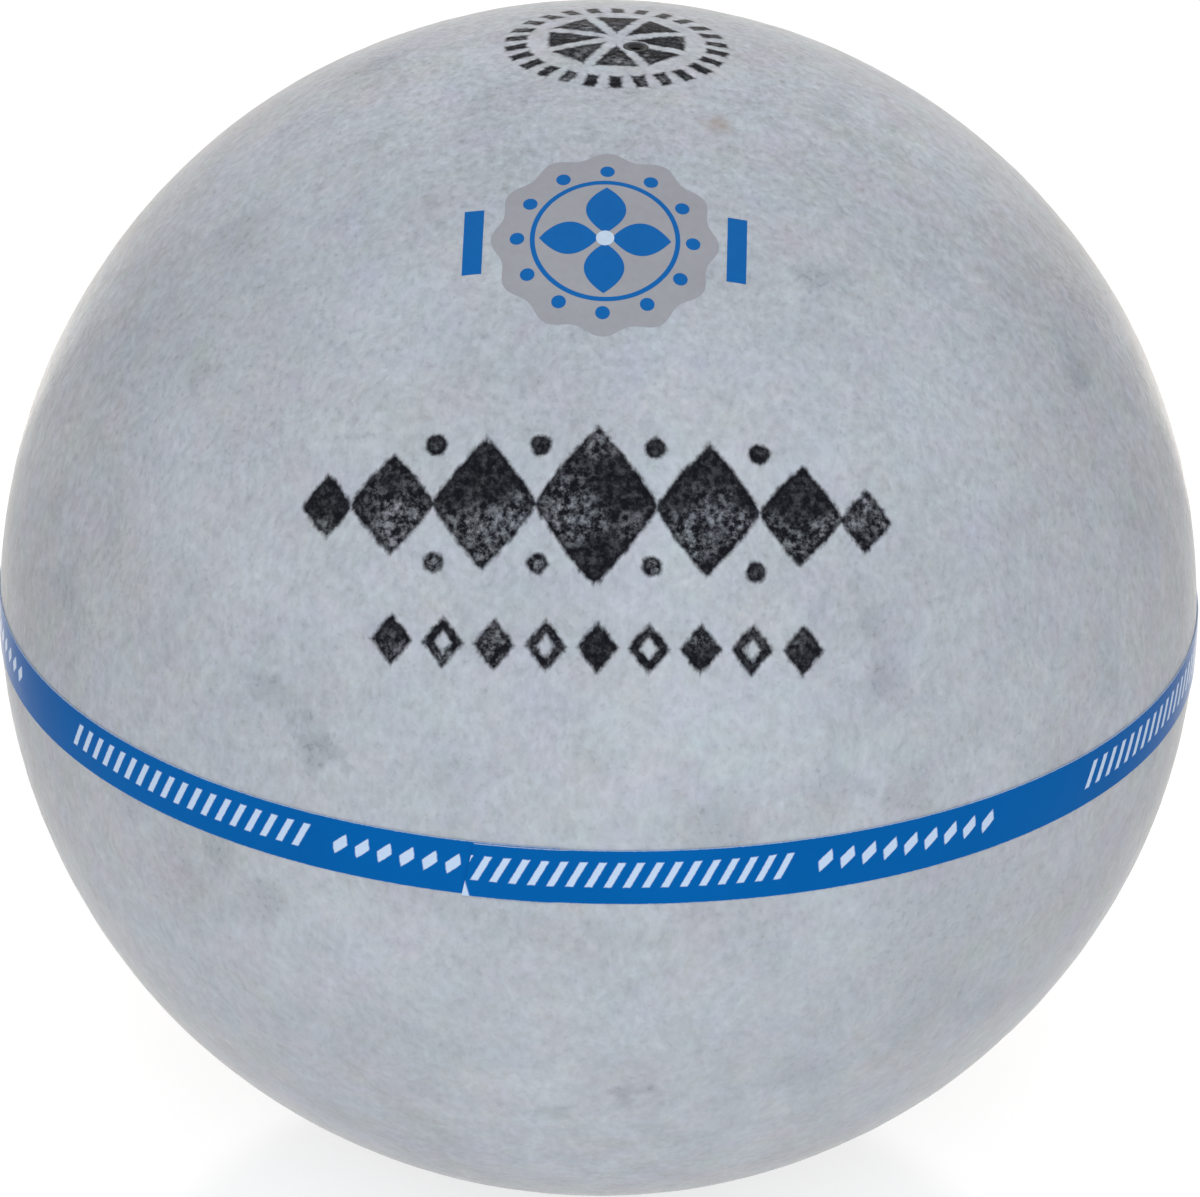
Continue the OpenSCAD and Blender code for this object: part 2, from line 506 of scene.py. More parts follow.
def smudges_and_painted_light(paint, upper):
    """How much darker the tones and smudges make one half's nap, and how much paler the painted light
    makes it.
    """
    smear = paint.vector("SUBTRACT", paint.noise(*SMEAR, colour=True), (0.5, 0.5, 0.5))
    smeared = paint.vector("ADD", paint.point, paint.vector("SCALE", smear, SMEAR_REACH))
    total = None
    # Tones with a minus are painted light, which makes the nap paler there
    for bearing, rise, radius, depth in (*TONES_AND_PAINTED_LIGHT, *FRONT_SMUDGES, *back_smudges()):
        if (rise > 0) != upper:
            continue
        far = paint.distance(smeared, facing(bearing, rise) * BALL_R)
        mark = far.ramp(radius, radius * SMUDGE_AND_PAINTED_LIGHT_CORE) * depth
        total = mark if total is None else total + mark
    return total


def nap_grains(paint):
    """Fibres and tufts, combed into swirls, and pores."""
    swirl = paint.noise(*SWIRL, colour=True)
    swirled = paint.vector("ADD", paint.point, paint.vector("SCALE", swirl, SWIRL_REACH))
    combed = paint.vector("MULTIPLY", swirled, COMBED)
    fibre = paint.noise(*FIBRE, point=combed)
    tuft = paint.noise(*TUFT, point=combed)
    pores = paint.noise(*PORE).ramp(*PORE_RANGE)
    return fibre, tuft, pores


def grain_strength(paint):
    """How strongly the fine grains show, which is more towards the top."""
    cap = paint.z.ramp(CAP_FROM * BALL_R, BALL_R)
    return paint.z.ramp(-BALL_R, BALL_R) * GRAIN_RISE + cap * GRAIN_CAP + GRAIN_LOW


def suede_grey(paint):
    """Grey with cooler and warmer places, whose hue strays a little."""
    warmth = paint.noise(*WARMTH).ramp(*WARM_RANGE)
    grey = paint.mix(warmth, SUEDE, SUEDE_WARM)
    hues = paint.vector("SCALE", paint.noise(*HUE, colour=True), HUE_SPREAD)
    tint = paint.vector("ADD", hues, (1 - HUE_SPREAD / 2,) * 3)
    return paint.vector("MULTIPLY", grey, tint)


def suede(name, upper):
    """Light grey suede: fibrous nap, mottling, smudges, painted light that makes the sides, the upper
    right and the lower front paler and, on the upper half, the stamps.
    """
    paint = Paint(
        name,
        Roughness=0.95,
        Specular_IOR_Level=0.12,
        Sheen_Weight=0.72,
        Sheen_Roughness=0.22,
        Sheen_Tint=opaque(SHEEN_TINT),
    )
    fibre, tuft, pores = nap_grains(paint)
    mottle = paint.noise(*MOTTLE)
    fine = fibre.swing(FIBRE_SHADE) + tuft.swing(TUFT_SHADE) - pores * PORE_SHADE
    broad = mottle.swing(MOTTLE_SHADE) + paint.noise(*CLOUD).swing(CLOUD_SHADE) + SHADE_LIFT
    broken = mottle.swing(MOTTLE_BREAK) + tuft.swing(TUFT_BREAK) + pores * PORE_BREAK + SMUDGE_AND_PAINTED_LIGHT_BASE
    # Taking away the tones also adds painted light: paler nap at the sides, the upper right and the
    # lower front
    shade = fine * grain_strength(paint) + broad - smudges_and_painted_light(paint, upper) * broken
    colour = paint.vector("SCALE", suede_grey(paint), shade + 1.0)
    near = paint.distance(paint.point, facing(*STAIN_PLACE) * BALL_R).ramp(STAIN_R, STAIN_CORE)
    stain = near * mottle.ramp(*STAIN_RANGE) * STAIN_DEPTH
    colour = paint.mix(stain, colour, STAIN_BROWN)
    if upper:
        colour = printing(paint, colour, fibre, tuft)
    paint.set("Base Color", colour)
    paint.bump(fibre * FIBRE_HEIGHT + tuft * TUFT_HEIGHT - pores * PORE_PIT, NAP_DEPTH)
    return paint.material


# The film band's material

FILM_BLUE = (0.0014, 0.118, 0.410)
FILM_WHITE = (0.56, 0.70, 0.90)
FILM_EDGE = (0.58, 0.68, 0.80)
# Below that of a real film, so that the pale surroundings hardly mirror in it
FILM_IOR = 1.07
STRIP_LAYER = "strip"
# The printed marks: where they start, the length after which they repeat, the height of their middle,
# their slant, and how frayed and soft their edges are
MARK_START = -2.5
MARK_REPEAT = 117.0
MARK_UP = 0.5
MARK_SLANT = 0.32
MARK_FRAY = 0.25
MARK_SOFT = 0.12
BARS = 18
BAR_PITCH = 3.1
BAR_HALF_W = 0.62
BAR_HALF_H = 2.25
DIAMONDS = 9
DIAMOND_PITCH = 3.9
DIAMOND_HALF_W = 1.25
DIAMOND_HALF_H = 1.9
DIAMONDS_FROM = 59.5
# The pale cut edge: how far in it starts and is full, and how much of it shows
EDGE_FROM = 0.14
EDGE_FULL = 0.04
EDGE_SHARE = 0.6
# Unprinted corner at the strip's visible end
CORNER_W = 1.3
CORNER_H = 2.8
CORNER_SOFT = 0.15
# Grains of the film: size in mm, detail and roughness of the noise
FILM_GRAIN = (0.5, 3.0, 0.6)
FILM_SPECK = (1.4, 2.0, 0.5)
FILM_WAVE = (7.0, 2.0, 0.5)
FILM_TONE = (28.0, 2.0, 0.5)
TONE_SPREAD = 0.12
SPECK_HEIGHT = 0.25
FILM_DEPTH = 0.05


def run_of(mark, u, start, pitch, count):
    """A row of one mark, each in the middle of its own pitch."""
    middle = start + pitch * count / 2
    marks = mark((u - start - pitch / 2).folded(pitch))
    return marks.most(abs(u - middle) - pitch * count / 2)


def band_marks(along, up):
    """A row of slanted bars and a row of diamonds after it."""
    slanted = along - up * MARK_SLANT
    bars = run_of(lambda u: bar(u, up, BAR_HALF_W, BAR_HALF_H), slanted, 0.0, BAR_PITCH, BARS)
    diamonds = run_of(
        lambda u: lozenge(u, up, DIAMOND_HALF_W, DIAMOND_HALF_H),
        slanted,
        DIAMONDS_FROM,
        DIAMOND_PITCH,
        DIAMONDS,
    )
    return union([bars, diamonds])


def film(name):
    """Glossy blue film with slanted white printed bars and pale cut edges."""
    paint = Paint(name, Roughness=0.12, IOR=FILM_IOR)
    s, v = paint.strip_place(STRIP_LAYER)
    along = (s - MARK_START).math("FLOORED_MODULO", MARK_REPEAT)
    fray = paint.noise(*FILM_GRAIN).swing(MARK_FRAY)
    marks = (band_marks(along, v - MARK_UP) + fray).ramp(MARK_SOFT, -MARK_SOFT)
    rise = v + BAND_W / 2
    corner = (s / CORNER_W + rise / CORNER_H).ramp(1 + CORNER_SOFT, 1 - CORNER_SOFT)
    edge = (abs(v) + fray).ramp(BAND_W / 2 - EDGE_FROM, BAND_W / 2 - EDGE_FULL) * EDGE_SHARE
    deep = tuple(c * (1 - TONE_SPREAD) for c in FILM_BLUE)
    light = tuple(c * (1 + TONE_SPREAD) for c in FILM_BLUE)
    blue = paint.mix(paint.noise(*FILM_TONE), deep, light)
    colour = paint.mix(marks.most(corner), blue, FILM_WHITE)
    paint.set("Base Color", paint.mix(edge, colour, FILM_EDGE))
    paint.bump(paint.noise(*FILM_WAVE) + paint.noise(*FILM_SPECK) * SPECK_HEIGHT, FILM_DEPTH)
    return paint.material


# Materials of the pieces below the cover. Noises have a size in mm, detail and roughness.

LATEX_DARK = (0.62, 0.51, 0.31)
LATEX_PALE = (0.74, 0.65, 0.45)
LATEX_PIT = (0.42, 0.33, 0.19)
RUNS = (9.0, 3.0, 0.6)
RUNS_TWIST = 1.2
PINHOLE = (1.1, 2.0, 0.5)
PINHOLE_RANGE = (0.62, 0.74)
PINHOLE_TONE = 0.5
PINHOLE_PIT = 0.6
LATEX_DEPTH = 0.2


def latex(name):
    """Cream dipped latex with runs and pinholes."""
    paint = Paint(name, Roughness=0.42, Specular_IOR_Level=0.4)
    runs = paint.noise(*RUNS, RUNS_TWIST)
    pits = paint.noise(*PINHOLE).ramp(*PINHOLE_RANGE)
    colour = paint.mix(runs, LATEX_DARK, LATEX_PALE)
    paint.set("Base Color", paint.mix(pits * PINHOLE_TONE, colour, LATEX_PIT))
    paint.bump(runs - pits * PINHOLE_PIT, LATEX_DEPTH)
    return paint.material


THREAD_DARK = (0.42, 0.38, 0.30)
THREAD_PALE = (0.84, 0.82, 0.74)
THREAD_RADIAN = 0.45
THREAD_DEPTH = 0.2
LAYS = 5
# Bearing and height angle of the first lay's axis, and how much lower each next one is, in degrees
LAY_BEARING = 11
LAY_RISE = 34
LAY_DROP = 17
# Patches where a lay is uppermost: the first one's size in mm, and the stretch that sets the next apart
LAY_SIZE = 7.0
LAY_STRETCH = 0.07
LAY_RANGE = (0.38, 0.62)


def wound_thread(name):
    """Off-white thread laid side by side in several directions."""
    paint = Paint(name, Roughness=0.7, Sheen_Weight=0.2)
    height = None
    for i in range(LAYS):
        axis = facing(360 / LAYS * i + LAY_BEARING, LAY_RISE - LAY_DROP * i)
        threads = paint.along(axis).wave(THREAD_RADIAN) * 0.5 + 0.5
        stretched = paint.vector("SCALE", paint.point, 1 + LAY_STRETCH * i)
        uppermost = paint.noise(LAY_SIZE + i, detail=1.0, rough=0.5, point=stretched)
        laid = threads * uppermost.ramp(*LAY_RANGE)
        height = laid if height is None else height.most(laid)
    paint.set("Base Color", paint.mix(height, THREAD_DARK, THREAD_PALE))
    paint.bump(height, THREAD_DEPTH)
    return paint.material


BUTYL_BLACK = (0.013, 0.013, 0.015)
TALC_GREY = (0.30, 0.30, 0.29)
TALC = (13.0, 5.0, 0.65)
TALC_TWIST = 0.8
TALC_RANGE = (0.42, 0.78)
TALC_SHARE = 0.35
TALC_HEIGHT = 0.3
BUTYL_GRAIN = (0.6, 2.0, 0.5)
BUTYL_HEIGHT = 0.4
BUTYL_DEPTH = 0.08


def butyl(name):
    """Black bladder rubber dusted with moulding talc."""
    paint = Paint(name, Roughness=0.62, Specular_IOR_Level=0.35)
    talc = paint.noise(*TALC, TALC_TWIST).ramp(*TALC_RANGE)
    paint.set("Base Color", paint.mix(talc * TALC_SHARE, BUTYL_BLACK, TALC_GREY))
    paint.bump(paint.noise(*BUTYL_GRAIN) * BUTYL_HEIGHT + talc * TALC_HEIGHT, BUTYL_DEPTH)
    return paint.material


CLOTH_DARK = (0.36, 0.31, 0.20)
CLOTH_PALE = (0.64, 0.59, 0.46)
YARN_RADIAN = 0.16
SLUB = (2.5, 2.0, 0.5)
SLUB_STRETCH = (0.2, 1.0, 1.0)
WEAVE_TONE = 0.7
SLUB_TONE = 0.3
WEAVE_DEPTH = 0.12


def woven_cloth(name):
    """Rubberised plain-weave cotton."""
    paint = Paint(name, Roughness=0.85, Sheen_Weight=0.15)
    weave = paint.x.wave(YARN_RADIAN) * paint.y.wave(YARN_RADIAN) * 0.5 + 0.5
    slub = paint.noise(*SLUB, point=paint.vector("MULTIPLY", paint.point, SLUB_STRETCH))
    paint.set("Base Color", paint.mix(weave * WEAVE_TONE + slub * SLUB_TONE, CLOTH_DARK, CLOTH_PALE))
    paint.bump(weave, WEAVE_DEPTH)
    return paint.material


HOUSING_BLACK = (0.010, 0.010, 0.011)
PLUG_BLACK = (0.007, 0.007, 0.008)
BLOOM = (2.2, 3.0, 0.6)
BLOOM_RANGE = (0.35, 0.75)
# How bloom lightens the black: a factor and an added grey
BLOOM_FACTOR = 2.6
BLOOM_GREY = 0.004
BLOOM_ROUGHNESS = 0.3
LEAST_ROUGHNESS = 0.36
SKIN_GRAIN = (0.25, 2.0, 0.5)
SKIN_DEPTH = 0.02


def moulded_rubber(name, colour):
    """Black moulded rubber with a satin skin and faint bloom."""
    paint = Paint(name, Specular_IOR_Level=0.4)
    bloom = paint.noise(*BLOOM)
    lighter = tuple(c * BLOOM_FACTOR + BLOOM_GREY for c in colour)
    paint.set("Base Color", paint.mix(bloom.ramp(*BLOOM_RANGE), colour, lighter))
    paint.set("Roughness", bloom * BLOOM_ROUGHNESS + LEAST_ROUGHNESS)
    paint.bump(paint.noise(*SKIN_GRAIN), SKIN_DEPTH)
    return paint.material


# Meshes built from rings of points

SHARP_EDGE = radians(40)


def joined(first, second):
    """Faces between two rings of vertex numbers, where one may have twice as many, or one point."""
    n, m = len(first), len(second)
    if n == 1:
        return [(first[0], second[i], second[(i + 1) % m]) for i in range(m)]
    if m < n:
        return [tuple(reversed(face)) for face in joined(second, first)]
    if n == m:
        return [(first[i], second[i], second[(i + 1) % n], first[(i + 1) % n]) for i in range(n)]
    faces = []
    for i in range(n):
        here, there = first[i], first[(i + 1) % n]
        near, middle, far = second[2 * i], second[2 * i + 1], second[(2 * i + 2) % m]
        faces += [(here, near, middle), (here, middle, there), (there, middle, far)]
    return faces


def ring_faces(rings, start=0, looped=False, capped=False):
    """Faces that join each ring of points to the next, with the points numbered from start on."""
    numbers = []
    for ring in rings:
        numbers.append(range(start, start + len(ring)))
        start += len(ring)
    pairs = list(zip(numbers, numbers[1:]))
    if looped:
        pairs.append((numbers[-1], numbers[0]))
    faces = [face for first, second in pairs for face in joined(first, second)]
    if capped:
        faces += [tuple(numbers[0]), tuple(reversed(numbers[-1]))]
    return faces


def points_of(rings):
    return [point for ring in rings for point in ring]


def add_to_scene(item):
    bpy.context.scene.collection.objects.link(item)


def face_outwards(mesh):
    """Turns all faces outwards and shades the mesh smooth, apart from its sharp edges."""
    shape = bmesh.new()
    shape.from_mesh(mesh)
    bmesh.ops.recalc_face_normals(shape, faces=shape.faces)
    shape.to_mesh(mesh)
    shape.free()
    mesh.shade_smooth()
    mesh.set_sharp_from_angle(angle=SHARP_EDGE)


def piece_of(name, points, faces):
    """An object from points in mm."""
    mesh = bpy.data.meshes.new(name)
    mesh.from_pydata([point * MM for point in points], [], faces)
    face_outwards(mesh)
    piece = bpy.data.objects.new(name, mesh)
    add_to_scene(piece)
    return piece


def stack(name, rings, **ends):
    """An object from one stack of rings."""
    return piece_of(name, points_of(rings), ring_faces(rings, **ends))


def smooth_step(low, high, value):
    t = min(max((value - low) / (high - low), 0.0), 1.0)
    return t * t * (3 - 2 * t)


# The two half-shells of the cover

# Relief of the nap: size of the dents, lumps and tufts in mm, place in the noise and height in mm
RELIEF = (
    (48.0, Vector((7.3, 1.1, 4.7)), 0.16),
    (13.0, Vector((2.9, 8.3, 0.4)), 0.07),
    (4.2, Vector((5.1, 3.7, 9.2)), 0.05),
)
RELIEF_SUNK = 0.06
# How deep the band presses the nap in, and where that ends, inside and outside the band's edge
PRESSED = 0.05
PRESSED_IN = 0.4
PRESSED_OUT = 1.6
# The dimple at the valve hole
DIMPLE_DEPTH = 0.35
DIMPLE_W = 5.0
# The valve hole's rounded lip: its lowest ring's depth, the others' depth and widening, and its width
LIP_LOW = 0.75
LIP_ROUND = ((0.42, 0.02), (0.33, 0.14))
LIP_W = 0.40
# Angle from the axis at which the rings round the hole have become rings round the pole
LEAN_END = 0.5
# The outer face's rings: their distance, and the longest edge and most points that they get
RING_STEP = 0.95
LONGEST_EDGE = 1.3
MOST_SIDES = 768
HOLE_SIDES = 48
POLE_SIDES = 6
# The inner face's rings, which need fewer points: counts up to an angle from the pole, and beyond
INNER_STEPS = 36
INNER_COUNTS = ((0.14, 24), (0.28, 48), (0.56, 96))
INNER_COUNT = 192
INNER_POLE_SIDES = 12
# Rings on the skived face: how many points each has, and its height, from the lower edge up
RIM_RINGS = ((384, -LAP_W / 2), (192, 0.0), (INNER_COUNT, LAP_W / 2))
OUTER_RIM = acos(-LAP_W / 2 / BALL_R)
INNER_RIM = acos(LAP_W / 2 / COAT_R)


def relief(point):
    """Height of the nap over the plain sphere, in mm."""
    bumps = sum(height * noise.noise(point / size + place) for size, place, height in RELIEF)
    off_band = smooth_step(BAND_W / 2 - PRESSED_IN, BAND_W / 2 + PRESSED_OUT, abs(point.z))
    hole_rim = (point - VALVE_AXIS * BALL_R).length - HOLE_R
    dimple = DIMPLE_DEPTH * (1 - smooth_step(0.0, DIMPLE_W, hole_rim))
    return (bumps - RELIEF_SUNK + PRESSED) * off_band - PRESSED - dimple


def raised(points):
    return [point * (1 + relief(point) / BALL_R) for point in points]


def circle(radius, polar, count, lean=0.0):
    """Ring on a sphere, polar radians from an axis that leans towards the valve."""
    towards_valve = Matrix.Rotation(VALVE_BEARING, 3, "Z") @ Matrix.Rotation(lean, 3, "Y")
    across = radius * sin(polar)
    up = radius * cos(polar)
    points = []
    for i in range(count):
        turn = 2 * pi * i / count
        points.append(towards_valve @ Vector((across * cos(turn), across * sin(turn), up)))
    return points


def lean_at(polar, hole):
    """Lean of the axis of a ring: the valve's at its hole, and none at LEAN_END."""
    return VALVE_LEAN * (1 - smooth_step(hole, LEAN_END, polar))


def sides(polar, least):
    """How many points a ring on the outer face gets: the least doubled as often as it takes."""
    count = least
    while GIRTH * sin(polar) / count > LONGEST_EDGE and count < MOST_SIDES:
        count *= 2
    return count


def inner_sides(polar, least):
    """How many points a ring on the inner face gets."""
    for limit, count in INNER_COUNTS:
        if polar < limit:
            return max(count, least)
    return INNER_COUNT


def polar_steps(first, last):
    count = ceil(abs(last - first) * BALL_R / RING_STEP)
    return [first + (last - first) * i / count for i in range(count + 1)]


def rim_rings():
    return [circle(SKIVE_R, acos(height / SKIVE_R), count) for count, height in RIM_RINGS]


def suede_upper():
    """Upper half-shell: outer face from the valve hole to the rim, then back along the inside."""
    lip_low_r = BALL_R - LIP_LOW
    rings = [circle(lip_low_r, asin(HOLE_R / lip_low_r), HOLE_SIDES, VALVE_LEAN)]
    for depth, wider in LIP_ROUND:
        rings.append(circle(BALL_R - depth, asin((HOLE_R + wider) / BALL_R), HOLE_SIDES, VALVE_LEAN))
    hole = asin(HOLE_R / BALL_R)
    for polar in polar_steps(hole + LIP_W / BALL_R, OUTER_RIM):
        rings.append(raised(circle(BALL_R, polar, sides(polar, HOLE_SIDES), lean_at(polar, hole))))
    rings += rim_rings()
    inner_hole = asin(HOLE_R / COAT_R)
    for i in range(INNER_STEPS + 1):
        polar = INNER_RIM + (inner_hole - INNER_RIM) * i / INNER_STEPS
        lean = lean_at(polar, inner_hole)
        rings.append(circle(COAT_R, polar, inner_sides(polar, HOLE_SIDES), lean))
    return stack("suede_upper", rings, looped=True)


def suede_lower():
    """Lower half-shell: outer face from its pole to the rim, then back along the inside."""
    rings = [raised([Vector((0.0, 0.0, -BALL_R))])]
    for polar in polar_steps(pi, OUTER_RIM)[1:]:
        rings.append(raised(circle(BALL_R, polar, sides(polar, POLE_SIDES))))
    rings += rim_rings()
    for i in range(INNER_STEPS):
        polar = INNER_RIM + (pi - INNER_RIM) * i / INNER_STEPS
        rings.append(circle(COAT_R, polar, inner_sides(pi - polar, INNER_POLE_SIDES)))
    rings.append([Vector((0.0, 0.0, -COAT_R))])
    return stack("suede_lower", rings)


# The film band

BAND_STEPS = 720
BAND_ROWS = 12
# Of the rows on the strip's outer face, one in so many is repeated on its inner face
INNER_ROW_STEP = 3
EDGE_ROUND = 0.06
# Length over which the strip comes down from the lap onto the cover
STEP_DOWN = 2.2
# The lifted end: height and length
CURL_LIFT = 0.06
CURL_W = 1.6
# Small ripples: height, length and place in the noise
RIPPLE_LIFT = 0.02
RIPPLE_W = 9.0
RIPPLE_PLACE = (4.4, 1.7)
# How the strip strays from the equator: its end sags over a length, and the whole sways once round
END_SAG = 0.18
SAG_W = 150.0
SWAY = 0.12
SWAY_START = 0.8


def band_section():
    """Points round the strip's section: height above the cover and distance across, in mm."""
    half = BAND_W / 2
    outer = [(BAND_T, half * (2 * i / BAND_ROWS - 1)) for i in range(1, BAND_ROWS)]
    inner = [(0.0, -across) for _, across in outer[::INNER_ROW_STEP]]
    high = [(BAND_T, half - EDGE_ROUND), (BAND_T - EDGE_ROUND, half), (0.0, half)]
    low = [(0.0, -half), (BAND_T - EDGE_ROUND, -half), (BAND_T, EDGE_ROUND - half)]
    return outer + high + inner + low


def band_lift(s):
    """How far the strip is lifted off the cover s mm from its visible end."""
    on_lap = 1 - smooth_step(BAND_LAP, BAND_LAP + STEP_DOWN, s)
    curl = CURL_LIFT * (1 - smooth_step(0.0, CURL_W, s))
    ripple = RIPPLE_LIFT * noise.noise(Vector((s / RIPPLE_W, *RIPPLE_PLACE)))
    return BAND_T * on_lap + curl + max(ripple, 0.0)


def band_point(s, height, across):
    """Point of the strip s mm from its visible end, at a point of its section."""
    sag = END_SAG * (1 - smooth_step(0.0, SAG_W, s))
    z = across - sag + SWAY * sin(2 * pi * s / GIRTH + SWAY_START)
    bearing = BAND_END + (s + across * tan(BAND_SLANT)) / BALL_R
    radius = BALL_R + height + band_lift(s)
    flat = sqrt(radius * radius - z * z)
    return Vector((flat * sin(bearing), -flat * cos(bearing), z))


def band_strip():
    """The film: a strip a little longer than the ball's girth, its end lapped over its start."""
    length = GIRTH + BAND_LAP
    section = band_section()
    places = [length * i / BAND_STEPS for i in range(BAND_STEPS + 1)]
    rings = [[band_point(s, height, across) for height, across in section] for s in places]
    piece = stack("band_strip", rings, capped=True)
    layer = piece.data.uv_layers.new(name=STRIP_LAYER)
    for loop in piece.data.loops:
        ring, place = divmod(loop.vertex_index, len(section))
        layer.data[loop.index].uv = (places[ring] * MM, section[place][1] * MM)
    return piece


# The emblem, a thin transfer on the suede above the stamp

EMBLEM_PLACE = (-0.5, 58.9)
EMBLEM_GREY = (0.352, 0.356, 0.386)
EMBLEM_BLUE = (0.001, 0.122, 0.405)
EMBLEM_PALE = (0.56, 0.68, 0.82)
EMBLEM_LAYER = "ink"
CENTRE = Vector((0.0, 0.0))
# Heights of the grey ground, the blue figures and the pale eye over the nap, and how deep all reach
GROUND_LIFT = 0.03
FIGURE_LIFT = 0.06
EYE_LIFT = 0.09
PRINT_DEPTH = 0.08
PATCH_STEP = 1.3
MEDALLION_R = 18.0
SCALLOPS = 12
SCALLOP_DEPTH = 0.7
SCALLOP_POINTS = 12
PETALS = 4
PETAL_MID = 5.9
PETAL_HALF_W = 3.3
PETAL_HALF_H = 4.9
PETAL_STEPS = 24
HOOP_R = 11.9
HOOP_HALF_W = 0.4
HOOP_POINTS = 120
BEAD_R = 1.2
BEADS_AT = 14.4
BEAD_POINTS = 20
SIDE_BAR_AT = 21.6
SIDE_BAR_HALF_W = 1.6
SIDE_BAR_HALF_H = 6.5
SIDE_BAR_STEPS = 12
EYE_R = 1.5
EYE_POINTS = 24


def on_emblem(place, lift):
    """Point over the nap at a place of the emblem, given to the right and upwards in mm."""
    right, up = local_axes(*EMBLEM_PLACE)
    flat = right * place.x + up * place.y
    point = flat + facing(*EMBLEM_PLACE) * sqrt(BALL_R ** 2 - flat.length_squared)
    return point * (1 + (relief(point) + lift) / BALL_R)


def thin_patch(outline, middle, lift):
    """Rings of a thin patch: its face from the middle out to the outline, and its back."""
    count = ceil(max((place - middle).length for place in outline) / PATCH_STEP)
    outwards = [step / count for step in range(1, count + 1)]
    rings = [[on_emblem(middle, lift)]]
    for level, shares in ((lift, outwards), (-PRINT_DEPTH, outwards[::-1])):
        for share in shares:
            rings.append([on_emblem(middle.lerp(place, share), level) for place in outline])
    rings.append([on_emblem(middle, -PRINT_DEPTH)])
    return rings


def turns_of(count):
    return [2 * pi * i / count for i in range(count)]


def spoke(radius, turn):
    """Place at a distance from the emblem's middle, turned clockwise from straight up."""
    return Vector((radius * sin(turn), radius * cos(turn)))


def round_outline(radius, count, middle=CENTRE):
    return [middle + spoke(radius, turn) for turn in turns_of(count)]


def scalloped_outline():
    turns = turns_of(SCALLOPS * SCALLOP_POINTS)
    return [spoke(MEDALLION_R + SCALLOP_DEPTH * cos(SCALLOPS * turn), turn) for turn in turns]


def even_steps(count):
    """Numbers from -1 to 1 in so many steps."""
    return [2 * i / count - 1 for i in range(count + 1)]


def petal_outline(turn):
    """Outline of a pointed petal that grows out from the middle of the emblem."""
    side = []
    for rise in even_steps(PETAL_STEPS):
        side.append((PETAL_HALF_W * (1 - rise * rise), PETAL_MID + PETAL_HALF_H * rise))
    points = side + [(-u, v) for u, v in side[-2:0:-1]]
    turned = Matrix.Rotation(-turn, 2)
    return [turned @ Vector(point) for point in points]


def bar_outline(middle):
    """Outline of an upright bar, with points along its sides so that it follows the ball."""
    rises = even_steps(SIDE_BAR_STEPS)
    side = [Vector((SIDE_BAR_HALF_W, SIDE_BAR_HALF_H * rise)) for rise in rises]
    return [middle + place for place in side] + [middle - place for place in side]


def hoop_rings():
    """Rings round a thin circular line, from its inner edge to its outer one and back below."""
    inner = HOOP_R - HOOP_HALF_W
    outer = HOOP_R + HOOP_HALF_W
    low = -PRINT_DEPTH
    rings = []
    for radius, lift in ((inner, low), (inner, FIGURE_LIFT), (outer, FIGURE_LIFT), (outer, low)):
        rings.append([on_emblem(place, lift) for place in round_outline(radius, HOOP_POINTS)])
    return rings


def emblem_parts():
    """Colour and rings of each part of the emblem, and whether the last ring joins the first."""
    yield EMBLEM_GREY, thin_patch(scalloped_outline(), CENTRE, GROUND_LIFT), False
    for turn in turns_of(PETALS):
        middle = spoke(PETAL_MID, turn)
        yield EMBLEM_BLUE, thin_patch(petal_outline(turn), middle, FIGURE_LIFT), False
    for turn in turns_of(SCALLOPS):
        middle = spoke(BEADS_AT, turn)
        bead = round_outline(BEAD_R, BEAD_POINTS, middle)
        yield EMBLEM_BLUE, thin_patch(bead, middle, FIGURE_LIFT), False
    for side in (-1, 1):
        middle = Vector((side * SIDE_BAR_AT, 0.0))
        yield EMBLEM_BLUE, thin_patch(bar_outline(middle), middle, FIGURE_LIFT), False
    yield EMBLEM_PALE, thin_patch(round_outline(EYE_R, EYE_POINTS), CENTRE, EYE_LIFT), False
    yield EMBLEM_BLUE, hoop_rings(), True


def emblem_print():
    """The whole transfer as one piece, with each part's colour in a layer of its own."""
    points, faces, colours = [], [], []
    for colour, rings, looped in emblem_parts():
        faces += ring_faces(rings, len(points), looped)
        points += points_of(rings)
        colours += [colour] * (len(points) - len(colours))
    piece = piece_of("emblem_print", points, faces)
    layer = piece.data.color_attributes.new(EMBLEM_LAYER, "FLOAT_COLOR", "POINT")
    for entry, colour in zip(layer.data, colours):
        entry.color = opaque(colour)
    return piece


TRANSFER_NAP = (1.3, 3.0, 0.6)
TRANSFER_TONE = (9.0, 2.0, 0.5)
TRANSFER_NAP_SHADE = 0.16
TRANSFER_TONE_SHADE = 0.14
TRANSFER_DEPTH = 0.05


def transfer(name):
    """Matt printing ink on a thin film that takes up a little of the nap below it."""
    paint = Paint(name, Roughness=0.62, Specular_IOR_Level=0.2)
    ink = paint.node("ShaderNodeVertexColor")
    ink.layer_name = EMBLEM_LAYER
    nap = paint.noise(*TRANSFER_NAP)
    tone = paint.noise(*TRANSFER_TONE)
    shade = nap.swing(TRANSFER_NAP_SHADE) + tone.swing(TRANSFER_TONE_SHADE) + 1.0
    paint.set("Base Color", paint.vector("SCALE", ink.outputs["Color"], shade))
    paint.bump(nap, TRANSFER_DEPTH)
    return paint.material


# The stage: camera, surroundings, floor and lamps

